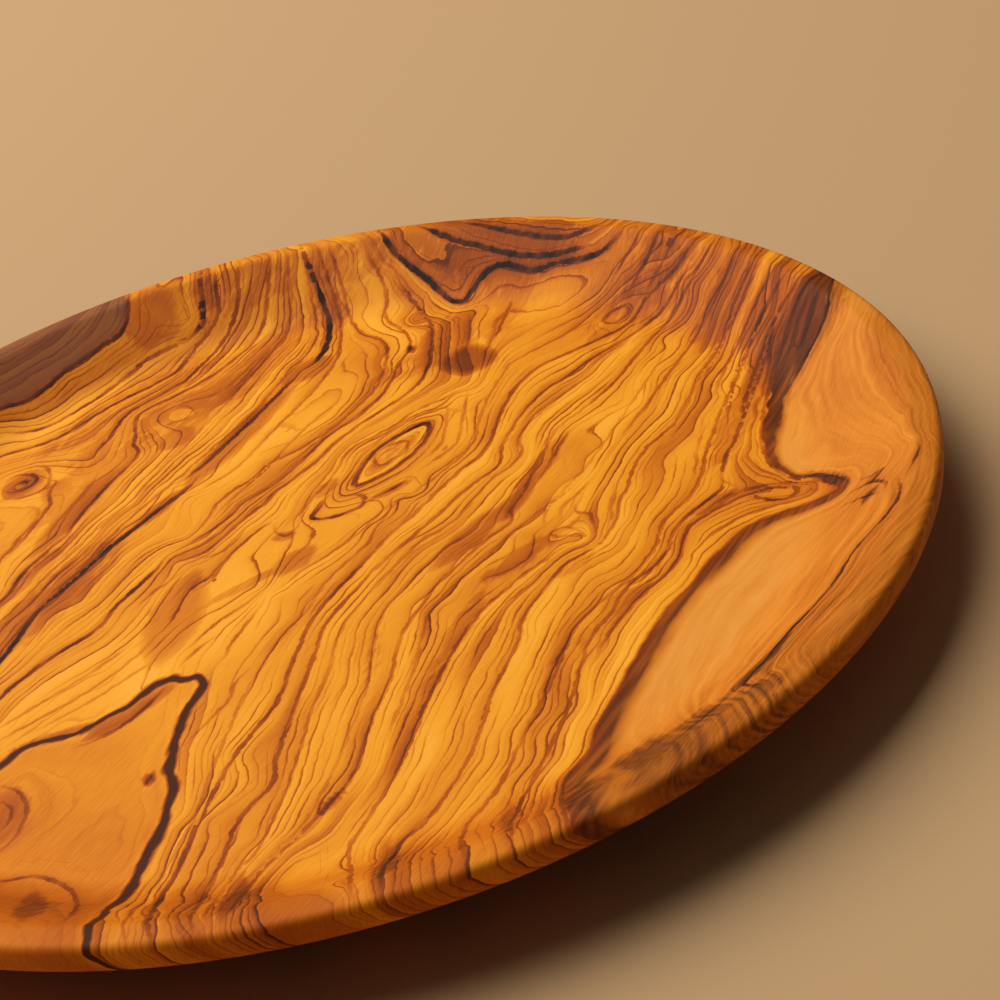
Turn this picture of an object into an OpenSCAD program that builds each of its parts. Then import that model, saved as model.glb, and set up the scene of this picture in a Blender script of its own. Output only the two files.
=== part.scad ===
// Round shallow serving dish turned from one solid blank of olive wood.
// The origin is at the centre of the foot, on the surface that the dish stands on, with +Z up.
// All lengths are in millimetres, and the whole dish is one profile turned about Z.

/* [Dish] */
// Diameter over the outside of the rim
dish_d = 280; // [200:1:340]
// Thickness of the wood under the flat floor of the well
floor_t = 10; // [8:0.5:16]
// Depth of the well, from the top of the rim down to its floor
well_depth = 12; // [9:0.5:20]

/* [Wall] */
// Slope of the inside wall, in degrees from the horizontal
wall_angle = 31; // [24:1:50]
// Radius of the cove that joins the floor of the well to the wall
cove_r = 20; // [8:0.5:26]
// Slope of the flank under the rim, in degrees from the horizontal
flank_angle = 32; // [28:1:40]

/* [Rim] */
// Radius of the upper outer edge of the rim
rim_edge_r = 1.5; // [1:0.1:4.5]
// Height of the upright band round the outside of the rim
rim_band_h = 2.3; // [0.4:0.1:4]
// Radius at which the band turns in under the rim
rim_under_r = 3; // [2:0.1:4.5]
// Width of the flat on top of the rim
lip_flat_w = 3.4; // [0.5:0.1:5]
// Radius at which the top of the rim turns down into the well
lip_edge_r = 3; // [1.5:0.1:4]

/* [Foot] */
// Width of the flat ring that the dish stands on
foot_ring_w = 14; // [8:0.5:24]
// Radius between the foot ring and the flank
foot_edge_r = 4; // [1:0.1:4]
// Depth of the shallow hollow turned inside the foot ring
hollow_depth = 1.2; // [0.5:0.1:2.5]
// Width over which the hollow fades in from the foot ring
hollow_fade_w = 9; // [3:0.5:20]

/* [Hidden] */
// Colour of oiled olive wood
olive_wood_colour = "#d6781f";
// Facets in a full turn
$fn = 180;
// Corners along the far side of a wedge that is cut away under a rounding
wedge_steps = 4;
// How far cuts run past the faces that they open
overrun = 1;
// How far a rounding laps over the slope that it closes onto, so that no sliver is left between them
lap = 0.001;

rim_r = dish_d / 2;
dish_h = floor_t + well_depth;
// Longer than the profile in every direction
span = dish_d + dish_h;

// Centres of the roundings, as [distance from the axis, height]
rim_edge_c = [rim_r - rim_edge_r, dish_h - rim_edge_r];
rim_under_c = [rim_r - rim_under_r, rim_edge_c.y - rim_band_h];
lip_edge_c = [rim_edge_c.x - lip_flat_w, dish_h - lip_edge_r];
cove_c = [
    tangent_x(lip_edge_c, -lip_edge_r, wall_angle, floor_t + cove_r, cove_r),
    floor_t + cove_r
];
foot_edge_c = [
    tangent_x(rim_under_c, rim_under_r, flank_angle, foot_edge_r, foot_edge_r),
    foot_edge_r
];
hollow_r = foot_edge_c.x - foot_ring_w;

// Distance from the axis of a circle of radius r whose centre is at height z, when it shares the
// sloping line that touches another circle. A radius is positive where the line runs below the
// circle, and negative where it runs above it.
function tangent_x(other_c, other_r, slope, z, r) =
    other_c.x + (other_r - r + lap + (z - other_c.y) * cos(slope)) / sin(slope);

// Everything below the sloping line that touches a circle from underneath
module below_slope(c, r, slope) {
    translate(c)
        rotate(slope)
            translate([-span, -r - span])
                square([2 * span, span]);
}

// Replaces the corner of a shape that lies between two directions from c by an arc of radius r
module round_corner(c, r, from, to) {
    far_side = [for (i = [0 : wedge_steps]) from + (to - from) * i / wedge_steps];
    difference() {
        children();
        translate(c)
            polygon(concat([[0, 0]], [for (a = far_side) span * [cos(a), sin(a)]]));
    }
    translate(c)
        circle(r = r);
}

// The outside of the turned blank, from the foot up the flank to the rim
module blank_profile() {
    round_corner(rim_edge_c, rim_edge_r, 0, 90)
        round_corner(rim_under_c, rim_under_r, flank_angle - 90, 0)
            round_corner(foot_edge_c, foot_edge_r, -90, flank_angle - 90)
                difference() {
                    square([rim_r, dish_h]);
                    below_slope(rim_under_c, rim_under_r, flank_angle);
                }
}

// The space that is turned out of the top: floor, cove and flared wall
module well_profile() {
    round_corner(cove_c, cove_r, -90, wall_angle - 90)
        difference() {
            translate([0, floor_t])
                square([rim_r, well_depth + overrun]);
            below_slope(cove_c, cove_r, wall_angle);
        }
}

// The shallow hollow inside the foot ring, which keeps the dish from rocking
module hollow_profile() {
    translate([0, -overrun])
        square([hollow_r, overrun]);
    polygon([
        [0, 0],
        [hollow_r, 0],
        [hollow_r - hollow_fade_w, hollow_depth],
        [0, hollow_depth]
    ]);
}

module dish() {
    color(olive_wood_colour)
        rotate_extrude()
            round_corner(lip_edge_c, lip_edge_r, 90, 90 + wall_angle)
                difference() {
                    blank_profile();
                    well_profile();
                    hollow_profile();
                }
}

dish();
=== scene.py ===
"""The looks of the olive wood serving dish, over its CAD frame.

One piece is turned for the eye: the dish, with the growth figure of its wood and a painted shade on
its walls drawn on it as attributes that the material reads. Lengths are in millimetres until they
reach Blender.
"""

import math

import bpy
import numpy as np
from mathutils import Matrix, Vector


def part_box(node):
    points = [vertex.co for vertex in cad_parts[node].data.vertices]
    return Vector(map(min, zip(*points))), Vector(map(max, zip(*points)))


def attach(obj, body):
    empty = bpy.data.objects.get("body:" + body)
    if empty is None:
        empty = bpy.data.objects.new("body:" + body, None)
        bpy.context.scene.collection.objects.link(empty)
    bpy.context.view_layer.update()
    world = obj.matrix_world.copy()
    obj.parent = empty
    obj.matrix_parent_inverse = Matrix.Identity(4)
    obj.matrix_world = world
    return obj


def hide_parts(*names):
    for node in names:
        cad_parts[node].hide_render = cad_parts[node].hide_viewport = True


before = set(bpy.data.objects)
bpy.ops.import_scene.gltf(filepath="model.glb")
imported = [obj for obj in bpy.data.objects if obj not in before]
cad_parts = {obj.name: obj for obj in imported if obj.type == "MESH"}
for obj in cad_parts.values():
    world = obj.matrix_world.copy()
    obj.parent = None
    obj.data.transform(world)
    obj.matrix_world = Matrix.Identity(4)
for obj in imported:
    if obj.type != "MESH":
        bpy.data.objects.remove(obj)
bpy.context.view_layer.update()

MM = 0.001

# Sizes of the dish. The overall ones come from the CAD node, the others are the part's own.
_, DISH_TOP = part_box("dish")
RIM_R = DISH_TOP[0] / MM
DISH_H = DISH_TOP[2] / MM
WELL_DEPTH = 12
FLOOR_Z = DISH_H - WELL_DEPTH
WALL_ANGLE = 31
COVE_R = 20
FLANK_ANGLE = 32
RIM_EDGE_R = 1.5
RIM_BAND_H = 2.3
RIM_UNDER_R = 3
LIP_FLAT_W = 3.4
LIP_EDGE_R = 3
FOOT_RING_W = 14
FOOT_EDGE_R = 4
HOLLOW_DEPTH = 1.2
HOLLOW_FADE_W = 9

# How finely the turned profile is divided, along it and round the axis
TOP_SPACING = 1.15
ROUND_SPACING = 0.8
UNDER_SPACING = 4
TURN_STEPS = 500
# Corners closer than this are one corner.
WELD_GAP = 0.01

# The grain runs this way across the dish, in degrees from +X, and leans as it goes down.
GRAIN_ANGLE = 54
GRAIN_LEAN = 0.8
# Rings closer or wider than this are drawn as if they were this far apart.
NARROWEST_RING = 1.2
WIDEST_RING = 9
# The ring spacing is measured over this step, and counts as no flatter than this, in rings to a mm.
PITCH_STEP = 0.25
FLATTEST = 0.01
# How closely the field keeps to the drawn lines, and the unit that its distances are counted in
FIELD_STIFFNESS = 0.0004
FIELD_UNIT = 100
# Added to a squared distance, so that the logarithm of zero never comes up
NOT_ZERO = 1e-12
# How far round a drawn line its nearness is kept, how finely it is curved and how long its ends fade
LINE_REACH = 5
CURVE_STEP = 1.5
LINE_END = 8
# How far past its end a line is still a trace, and the distance to the ends of a line that has none
LINE_TIP = 1
NO_END = 1000
# How far the brown shade of a drawn line reaches to its far left and to its near right
SHADE_LEFT = 3.6
SHADE_RIGHT = 1.2
# The walls are painted darker, as painted shade: how far out from the floor's edge that shade comes
# in, and how much of it the lip keeps
WALL_SHADE_FADE = 9
WALL_SHADE_ON_LIP = 0.8
# The side of the dish where the painted wall shade is deepest, in degrees from +X, and how much deeper
WALL_SHADE_SIDE = -70
WALL_SHADE_MORE = 0.5
# How blunt the middle of a pointed oval is, as a share of its half width
BLUNT = 0.3
# How far out from the middle a patch reaches, stain and painted shade alike, with 1 on its outline
STAIN_REACH = 1.6
# What is left of a knot's rise on its outline
KNOT_ON_OUTLINE = 0.5

# Growth lines seen from above, drawn one by one: the ring that they belong to, how dark the line is as
# a share, and the points that it passes. Rings count from the far left to the near right. A line with
# no darkness is not drawn, and only leads the rings.
GROWTH_LINES = (
    (-22, 0.75, ((-130, 40), (-112, 66), (-92, 88), (-74, 97), (-65.5, 101), (-57.5, 108.5), (-46, 116.5),
                 (-41, 120), (-38.8, 126), (-38, 134))),
    (-20, 0.65, ((-74, 90), (-64, 90), (-58, 93), (-49, 100), (-40, 108), (-35, 112), (-25.5, 116),
                (-20, 120), (-19.3, 128), (-18.3, 137))),
    (-18, 0.65, ((-122, 25), (-104, 52), (-88, 72), (-74, 80), (-65.5, 81), (-59, 83), (-49.5, 90.5),
                (-42.5, 95.5), (-30, 103), (-24.5, 111.5), (-19, 117.5), (-15.5, 123), (-15, 137))),
    (-16, 0.65, ((-49.5, 67), (-48.5, 71), (-45.5, 76), (-43.5, 82), (-41, 87), (-37, 90), (-30, 95),
                 (-26, 98), (-23, 103), (-20, 107.5), (-11, 122), (-8, 137))),
    (-15, 0.55, ((-70, 26.5), (-65.6, 34.5), (-63, 40), (-60.5, 46), (-59.5, 50), (-60, 55),
                 (-58, 61))),
    (-14, 0.6, ((-125, -68), (-105, -42), (-85, -12), (-68, 10), (-65, 18), (-58.5, 27.4),
                (-54.7, 32), (-51.5, 40.2), (-44.5, 52.9), (-40.1, 59.9), (-38, 65), (-39.3, 69),
                (-39, 74), (-38, 85), (-28, 91), (-16, 100), (-5, 116), (1, 137))),
    (-12, 0.4, ((-82, -20), (-67.5, 1.3), (-60.5, 12.8), (-49, 29.4), (-39.4, 41.4), (-34.4, 49.7),
                (-26.7, 61.2), (-21, 71), (-14, 83), (-4, 101), (3, 118), (5, 137))),
    (-10, 0.45, ((-59.8, 3.3), (-48.4, 18.5), (-41.4, 30.6), (-29.3, 45.3), (-20.4, 56.7),
                 (-14.6, 63.7), (-8, 73), (-2, 84), (6, 97), (9, 110), (9, 137))),
    (-9, 0.9, ((-112, -84), (-97, -62), (-80, -37), (-67, -16), (-59.8, 0.7), (-53.5, 8.4),
               (-44.5, 20.4), (-35.6, 30), (-26.7, 39.5), (-23.5, 45))),
    (-9, 0.75, ((-29.3, 42.7), (-25.4, 46.5), (-21.6, 50.4), (-17.8, 55.5), (-12.7, 62.5), (-6.4, 71.5),
               (-1.6, 79), (3, 86))),
    (-9, 1.0, ((5, 88), (8, 91), (10.8, 97), (12.4, 105), (12.5, 115), (11.5, 122), (10.5, 128),
                (8.5, 138))),
    (-8, 0.45, ((-26, 37), (-22.9, 38), (-16.5, 42.7), (-12.7, 46.5), (-8.9, 52.3), (-4.4, 59.3),
                (2, 68.7), (8, 78), (12.5, 88), (14.5, 98), (15.5, 112), (14.5, 124), (12.5, 137))),
    (-8, 0, ((-50, 1), (-38, 19), (-30, 31))),
    (-7, 0.5, ((-26.7, 16.6), (-22.9, 20.4), (-20.4, 25.5), (-19, 29.4), (-15.3, 33.8), (-10.2, 37.6),
               (-6.3, 42.7), (0.1, 45.5), (5.8, 49.6), (11.5, 54.7), (16.6, 61), (20.5, 66.2),
               (24, 75), (26, 87), (24.6, 95), (21.3, 99), (18, 109.5), (17.5, 122), (16, 137))),
    (-6, 0.75, ((-105, -95), (-95, -75), (-80, -50), (-66, -30.4), (-56, -20), (-46.4, -13.2),
                (-41.4, -4.4), (-34.4, 4.5), (-32.4, 8.3), (-30.5, 11.5))),
    (-6, 0.55, ((-30.5, 11.5), (-26.7, 13.4), (-19, 19.2), (-15.9, 22.4), (-12.7, 26.8), (-8.9, 29.4),
                (-5, 32.4), (-1.2, 36.3), (2.6, 41.4), (7.1, 47.7), (10.9, 51.5), (15.4, 54.7),
                (19.2, 59.2), (22.4, 63), (24.9, 68), (28.6, 79), (31.7, 84.6), (31.9, 92),
                (30.3, 97.5), (28, 103), (27, 108.4), (28.6, 117), (25, 130))),
    (-5, 0.6, ((-29.3, 7), (-25.4, 7.7), (-21.6, 9), (-17.2, 14), (-11.4, 21), (-7.6, 24.3),
               (-5, 28.6), (1.4, 34.4), (6.5, 40), (10.9, 45.8), (16, 50.9), (24.9, 57.9),
               (29.4, 61.7), (33.2, 66.8), (36, 76), (38, 90), (38, 97), (35, 110), (31, 120))),
    (-4, 0.5, ((-25.4, -6.5), (-21.6, -4.7), (-19, 0), (-16.5, 4.5), (-12.7, 9.6), (-8.9, 13.4),
               (-5.7, 15.7), (-3.8, 17.6))),
    (-3, 0.5, ((-0.5, 10.8), (0.1, 15.3), (3.3, 21.6), (6.5, 26), (9.6, 31.8), (11.5, 36.9),
               (14.7, 41.4), (19.8, 43.9), (25.6, 47.7), (30, 51.5), (35.7, 53.4), (42.7, 57.6))),
    (-2, 0, ((10, 24), (17, 37), (27, 46), (40, 54), (38, 40), (32, 29), (22, 21), (10, 24))),
    (-3, 0.5, ((-27.3, -30.6), (-22.2, -24.3), (-19.6, -21.7), (-14.5, -17.9), (-8.8, -12.8))),
    (-2, 0.4, ((-8.2, -15.7), (-4.4, -12.8), (-0.5, -9), (4.6, -5.8), (10.9, -0.7), (16, 5),
               (19.8, 9.5), (26.8, 14))),
    (-2, 0.5, ((-20.3, -38.9), (-18.4, -35.7), (-15.8, -29.4), (-12.6, -23.6), (-9.4, -17.9))),
    (-3, 0.4, ((45.5, 76), (46, 79), (47.7, 91), (48.3, 99))),
    (-2.5, 0, ((51, 76), (54, 83), (57, 92), (61, 101), (68, 88), (78, 90))),
    (-2, 1.0, ((30, 135), (32, 126), (36, 119), (40, 113), (43, 107), (45.5, 103.6), (48, 103),
               (51, 106), (55, 108.5), (60, 108), (64, 104), (68, 101.6), (73, 100.4), (80, 97),
               (84, 96), (88, 97), (91.5, 100.5))),
    (-1, 0.95, ((40, 132), (44, 126), (49, 121), (55, 116), (60, 111.6), (64.5, 108), (70, 104.5),
                (76, 102), (84, 99.6))),
    (0, 0.85, ((51, 128), (57, 121.5), (62, 117), (67, 113), (72, 109), (78, 105.5), (88, 103.5))),
    (-1, 0.4, ((-34, -138), (-34.6, -120), (-33.5, -110), (-31, -103), (-25, -88), (-21, -73),
               (-16, -56), (-12, -45.9), (-9.4, -39.6),
               (-6.9, -35), (-1.8, -27.5), (2, -20.5), (5.8, -14), (10.3, -9), (14.7, -3.3),
               (17.3, 2.5), (22.4, 10.8), (30, 15.9), (35.7, 21.6), (39.6, 26), (42.7, 31.8),
               (44, 38.2), (47.8, 49.6), (52.3, 59.2), (55.5, 64.3), (64.4, 69.4), (78, 77))),
    (0, 0.6, ((-29.5, -138), (-31, -118), (-30.6, -109), (-28, -102.5), (-23.8, -89), (-17.3, -72.5),
               (-12.6, -64.7), (-8.8, -58.7),
               (-6.3, -52.3), (-4.4, -44.6), (-0.5, -32.6), (3.3, -24.9), (7.1, -19.8),
               (14.7, -9.6), (19.2, -3.3), (24.9, 2.5), (30, 8.9), (37.6, 17.8), (42.1, 21.6),
               (45.3, 26.7), (49.1, 38.2), (53.6, 49), (58.6, 56), (63, 59.3), (76, 64.7),
               (84.8, 69), (91.4, 75.6), (100, 77.8), (110, 84))),
    (1, 0.55, ((-22.5, -138), (-23, -118), (-22, -109), (-19.6, -102.5), (-16.4, -92), (-9.9, -83.6),
               (-9, -77), (-5.6, -64.7), (-3.7, -57.4),
              (0.7, -42), (2.6, -34.5), (7.1, -26.8), (16, -14.7), (26.2, -4), (34.5, 5),
              (39.6, 10.2), (45.9, 15.3), (47.2, 19.7), (48.5, 25.4), (54.2, 36.9), (61.2, 45.8),
              (66.3, 49.5), (73.9, 56), (82.6, 61.5), (90.3, 67), (95.7, 70), (106, 79))),
    (2, 0.4, ((-20, -138), (-20.4, -118), (-18, -108.5), (-12.6, -101), (-6, -82), (-1.8, -64.7),
               (3.3, -49), (4.6, -42), (7.7, -33), (10.9, -28),
               (15.4, -21.7), (25.6, -9), (30, -6.5), (35.2, -2), (43.4, 9.8), (48.5, 14), (51.7, 19),
               (52.5, 26), (55.5, 32), (64.7, 41.4), (74, 49))),
    (4, 0.3, ((-17.8, -138), (-17.8, -119), (-15.6, -110.5), (-4.5, -98), (4, -78), (10.3, -58.7),
               (11.6, -51), (14.7, -35.7), (17.3, -30.6),
              (23.7, -21.7), (29.7, -15.4), (40, -6))),
    (5, 0.5, ((-15.6, -138), (-15.6, -118), (-13, -109.5), (-8, -104), (0, -95), (5.9, -86.4),
               (10.5, -70.6), (15.4, -57.4),
               (16.7, -51), (18.6, -44), (21, -38.9), (26.2, -30), (31.4, -23.6), (39.6, -14.7),
               (43.5, -12.2), (46, -9.6), (46.6, -4.5), (48.6, -1.4), (52.3, 7), (56.7, 17.2),
               (61.2, 26), (67.3, 31.4), (72.5, 36.6), (77.7, 42), (82.6, 49.5), (87, 56),
               (91.4, 61.5), (102, 71), (113, 80))),
    (6, 0.35, ((12, -80), (19, -60), (25, -38.3), (32.6, -28), (37.7, -23), (46, -14), (54.9, -5.8),
               (63.2, 3.5), (70, 14), (80, 31), (92, 52))),
    (7, 0.45, ((74, 14), (84.8, 31), (93.5, 45), (101.2, 56), (110, 64.7), (116, 72))),
    (7, 0.5, ((5, -138), (4, -120), (3.4, -109.5), (6.4, -103), (13.3, -90.5), (17.8, -79.4),
               (21, -70.5), (26.2, -58.7), (30, -51),
              (34.5, -43.4), (39, -38.3), (46, -32), (50.5, -28.7), (55.5, -24.9), (60, -24.3))),
    (9, 0.5, ((10, -138), (10.5, -122), (13, -111), (19, -105), (28.3, -89), (34.4, -71.6), (41.6, -56),
               (42.8, -50.4),
              (45.4, -44.6), (49.2, -39.6), (53, -33.8), (56.8, -30.6), (61.9, -28), (65.7, -23),
              (68.3, -17.3), (69.6, -11.5), (72.1, -7.7), (73.4, -3.3), (75.6, 2), (79.8, 8.4),
              (87, 15.7), (92.4, 26), (97.6, 36.6), (107.7, 52.7), (113, 59.3), (120, 67))),
    (11, 0.5, ((25, -138), (24, -120), (25.6, -110), (32, -101.5), (38.8, -87), (44.4, -76),
               (51, -60.6), (53.6, -55.5),
                (58, -50.4), (65.7, -43.4), (69.6, -39.6), (74, -32.6), (76, -26.8), (79, -22.4),
                (84.8, -16.6), (88.7, -7.7), (91.2, 0), (97, 14), (103, 27), (112, 44))),
    (12, 0.55, ((33, -136), (33.4, -120), (36, -107), (41, -97), (47.7, -82.7), (55, -62.5),
               (60.6, -54.2), (65.7, -46),
               (72, -40.8), (76, -35.7), (77.8, -30.6), (80.4, -26.8), (84.8, -22.4), (91.2, -17.3),
               (92.4, -11.5), (94.5, -5), (97.6, 1), (101.8, 10.5), (106, 20), (109, 27), (118, 44))),
    (13, 0.45, ((54, -70.5), (60, -60), (69.6, -48.5), (74, -44.6), (77.8, -39.6), (80.4, -31.6),
                (82.3, -28.6), (88.7, -24.8), (94.7, -22.4), (101, -22), (108, -24.5))),
    (14, 0.5, ((80, -40), (84, -35.5), (89.9, -31.6), (94.7, -29.8), (105, -29))),
    (14, 0.3, ((99.6, -6), (100.6, -13), (104, -18), (110, -24))),
    (15, 0.6, ((113.6, -30), (111, -24.6), (106.6, -20), (103.4, -14), (103, -8), (103.6, 0), (105.6, 7),
               (107.6, 14), (110, 20), (112.4, 26), (116, 32), (120, 38), (123.6, 42.6), (128, 46),
               (134, 51))),
    (15.45, 0.3, ((115.6, -31.4), (113.4, -25), (109.4, -20.6), (106, -17), (104.6, -10), (105.8, -3),
                  (108.8, 5), (110.4, 11.3), (113.4, 16.6), (118.4, 21.6), (123.4, 26.6), (127.4, 31.6),
                  (130, 38.4), (132.4, 44), (136, 50))),
    (16.3, 0, ((117, -32), (114.6, -25), (110.4, -19.8), (107, -16.4), (105.8, -10), (107, -3.4),
               (110, 4.4), (111.6, 10.6), (114.4, 15.6), (119.4, 20.4), (124.4, 25.4), (128.6, 30.6),
               (131.4, 37.4), (134, 43), (138, 49))),
    (15, 0.5, ((43, -138), (42.6, -122), (43.3, -110), (45, -103), (50, -97), (52, -91), (56, -84),
                (60, -77), (64, -70), (68, -63), (72, -57), (78, -51), (82, -46), (86.5, -41), (90, -37),
                (96, -33.4), (103, -32), (110, -31.6), (115, -32.4))),
    (16.3, 0, ((62, -124), (61, -112), (59.6, -103), (58.6, -95), (61, -87), (65, -79), (69.6, -70.5),
               (74.6, -62.4), (80.6, -54.4), (87, -47.6), (92, -42.4), (98.6, -37.4), (108, -35.6),
               (116, -35))),
    (15.75, 0, ((50, -122), (50, -112), (51.5, -104))),
    (17, 0, ((129.6, 27), (120, 16), (115, 5), (112, -4), (114, -14), (119, -24), (122, -33), (112, -39),
             (99, -42), (89.6, -51), (74, -72), (67, -86), (66, -98), (70, -112))),
    (20, 0.38, ((82, -106), (80, -98), (86, -90), (89, -85.6), (94, -80.4),
               (99, -76.6), (103, -72.6), (106, -68), (110, -63), (115, -60), (120, -56), (122, -52),
               (123, -46))),
    (20, 0.4, ((124, -48.6), (126, -46), (129, -41), (130.6, -36))),
    (20, 0, ((134, 20), (131, 5), (130, -10), (131, -25))),
    (23, 0, ((134, -35), (124, -66), (110, -80), (92, -97))),
    (-1.8, 0, ((80, 84), (90, 89), (98, 95), (104, 100))),
    (-0.9, 0, ((84, 80), (94, 84), (104, 91), (109, 95))),
    (-21, 0, ((-36, 116), (-33, 120), (-32, 127), (-31, 137))),
    (-23, 0, ((-58, 112), (-50, 119), (-45, 125), (-43, 133))),
    (-2.5, 0, ((-41, -128), (-35, -99), (-30, -75), (-27, -56))),
    (-3, 0, ((-52, -75), (-72, -86), (-50, -102), (-88, -98))),
    (-3.6, 0, ((-92, -84), (-78, -66), (-65, -56), (-51, -51), (-37, -45))),
)

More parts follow.
